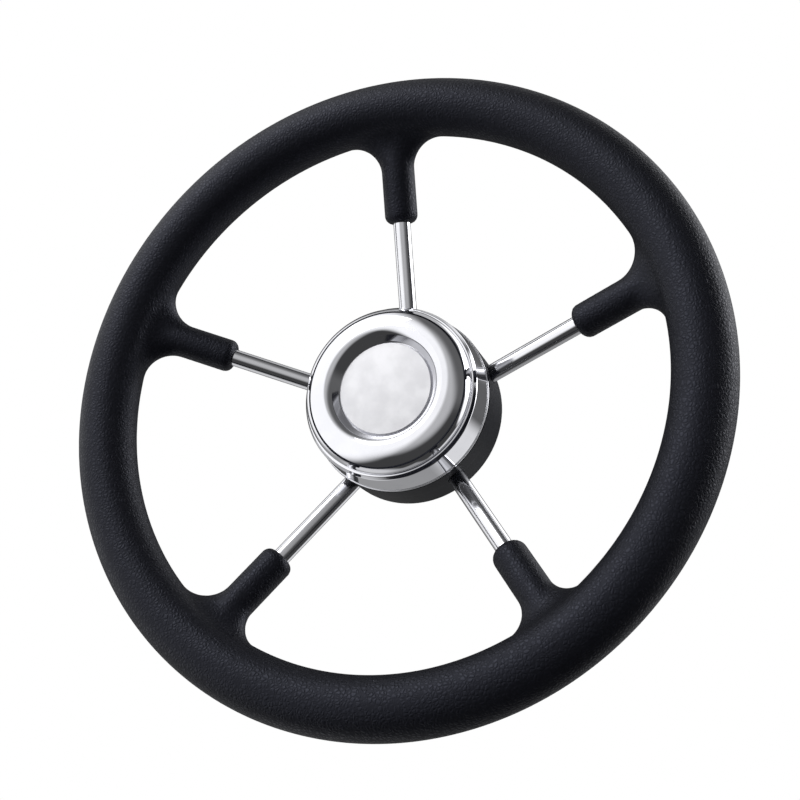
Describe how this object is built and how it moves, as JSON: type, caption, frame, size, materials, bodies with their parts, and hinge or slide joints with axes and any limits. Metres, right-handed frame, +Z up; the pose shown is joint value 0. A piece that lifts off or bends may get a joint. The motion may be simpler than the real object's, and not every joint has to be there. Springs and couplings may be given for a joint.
{
  "type": "boat steering wheel",
  "caption": "Dished boat steering wheel: soft black rim with sleeves, polished round-bar spokes, and a polished hub with a pull-off cap over a tapered, keyed bore.",
  "frame": {"origin": "centre of the boss's rear face, where the large end of the shaft taper opens", "axes": "+Y along the wheel's axis, the way the helm shaft leaves; the helmsman is on the -Y side; +Z up along the top spoke and the keyway; +X to the helmsman's right"},
  "size_m": [0.3498, 0.0729, 0.35],
  "materials": {
    "grip": "fine leather grain, soft sheen",
    "tube": "mill finish",
    "spokes": "polished along the bar",
    "boss": "turned",
    "polished_pressing": "mirror polish",
    "shroud": "fine spark texture",
    "carrier": "plain moulding",
    "sealing_ring": "plain",
    "inlay": "matt anodised",
    "screws": "plain"
  },
  "bodies": {
    "wheel": {"rim_core": "tube", "rim_grip": "grip", "spoke_top": "spokes", "spoke_right_upper": "spokes", "spoke_right_lower": "spokes", "spoke_left_lower": "spokes", "spoke_left_upper": "spokes", "hub_boss": "boss", "hub_plate": "boss", "hub_skirt": "polished_pressing", "front_shroud": "shroud", "rear_shroud": "shroud", "shroud_screws": "screws"},
    "cap": {"cap_shell": "polished_pressing", "cap_carrier": "carrier", "cap_ring": "sealing_ring", "cap_inlay": "inlay"}
  },
  "joints": [
    {"name": "cap_pull", "type": "slide", "parent": "wheel", "child": "cap", "axis": [0, -1, 0], "range_m": [0, 0.05]}
  ]
}
